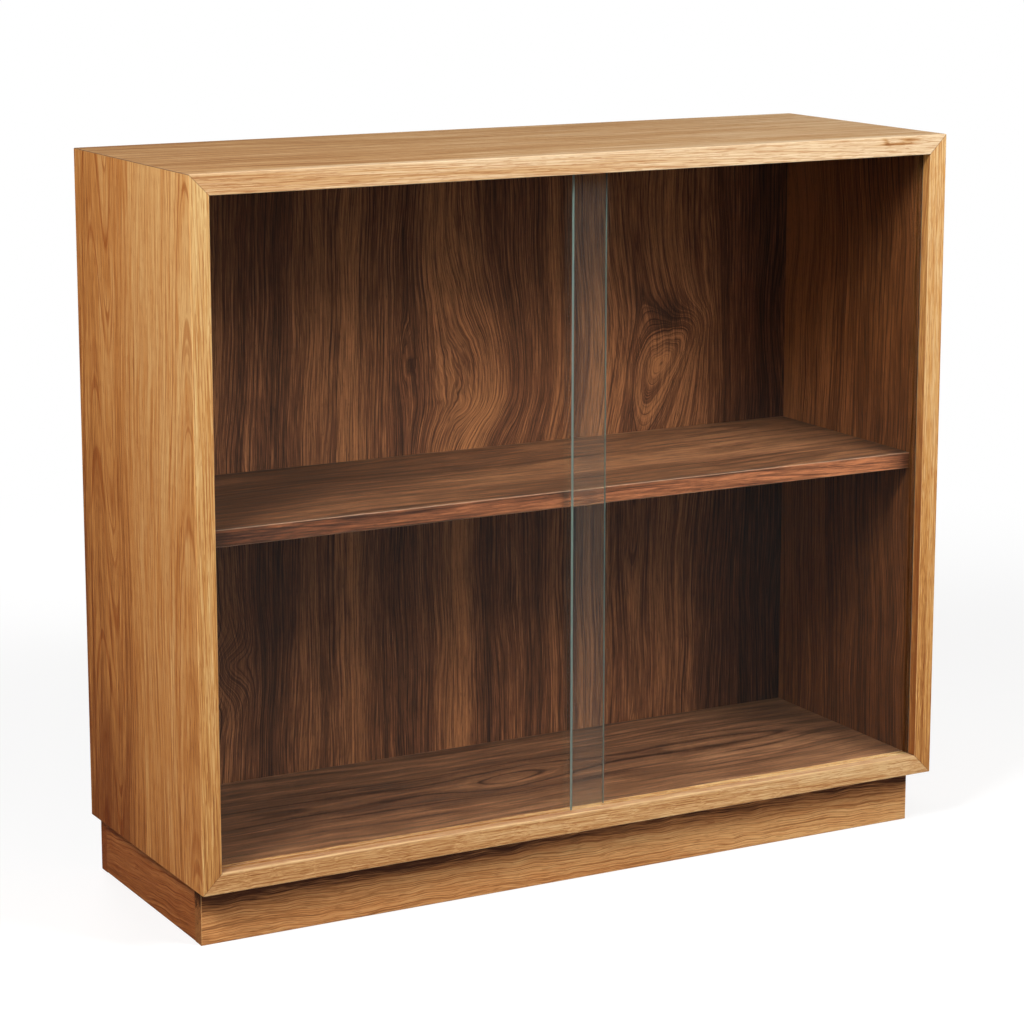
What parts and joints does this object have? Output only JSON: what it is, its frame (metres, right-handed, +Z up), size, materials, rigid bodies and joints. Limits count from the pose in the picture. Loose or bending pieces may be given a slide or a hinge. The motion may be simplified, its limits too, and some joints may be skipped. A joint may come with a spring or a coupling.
{
  "type": "bookcase with sliding doors",
  "caption": "Low oak bookcase on a recessed plinth, lined with walnut, with a fixed walnut shelf and frameless glass doors that slide past each other in grooves.",
  "frame": {"origin": "on the floor under the middle of the case, at the bottom centre of the whole object's box", "axes": "+X to the right along the front, +Y from the doors to the back, +Z up"},
  "size_m": [1.04, 0.358, 0.916],
  "materials": {
    "oak": "satin clear oil over straight-grained honey oak",
    "plinth_oak": "satin clear oil over oak, a shade darker",
    "walnut": "satin oil over dark figured walnut",
    "joinery_wood": "planed, unfinished",
    "door_glass": "clear float glass, ground and polished edges",
    "glide_strip": "smooth, tan",
    "screw_steel": "zinc plated"
  },
  "bodies": {
    "case": {"case_top": "oak", "case_bottom": "oak", "case_side_left": "oak", "case_side_right": "oak", "mitre_spline_top_left": "joinery_wood", "mitre_spline_top_right": "joinery_wood", "mitre_spline_bottom_left": "joinery_wood", "mitre_spline_bottom_right": "joinery_wood", "floor_lining": "walnut", "ceiling_lining": "walnut", "side_lining_left": "walnut", "side_lining_right": "walnut", "back_panel": "walnut", "shelf": "walnut", "front_glide_strip": "glide_strip", "rear_glide_strip": "glide_strip", "plinth_front": "plinth_oak", "plinth_back": "plinth_oak", "plinth_side_left": "plinth_oak", "plinth_side_right": "plinth_oak", "plinth_bearer": "joinery_wood", "corner_block_front_left": "joinery_wood", "corner_block_front_right": "joinery_wood", "corner_block_back_left": "joinery_wood", "corner_block_back_right": "joinery_wood", "plinth_screws": "screw_steel"},
    "left_door": {"left_door_glass": "door_glass"},
    "right_door": {"right_door_glass": "door_glass"}
  },
  "joints": [
    {"name": "left_door_slide", "type": "slide", "parent": "case", "child": "left_door", "axis": [1, 0, 0], "range_m": [0, 0.4645]},
    {"name": "right_door_slide", "type": "slide", "parent": "case", "child": "right_door", "axis": [1, 0, 0], "range_m": [-0.4805, 0]}
  ]
}
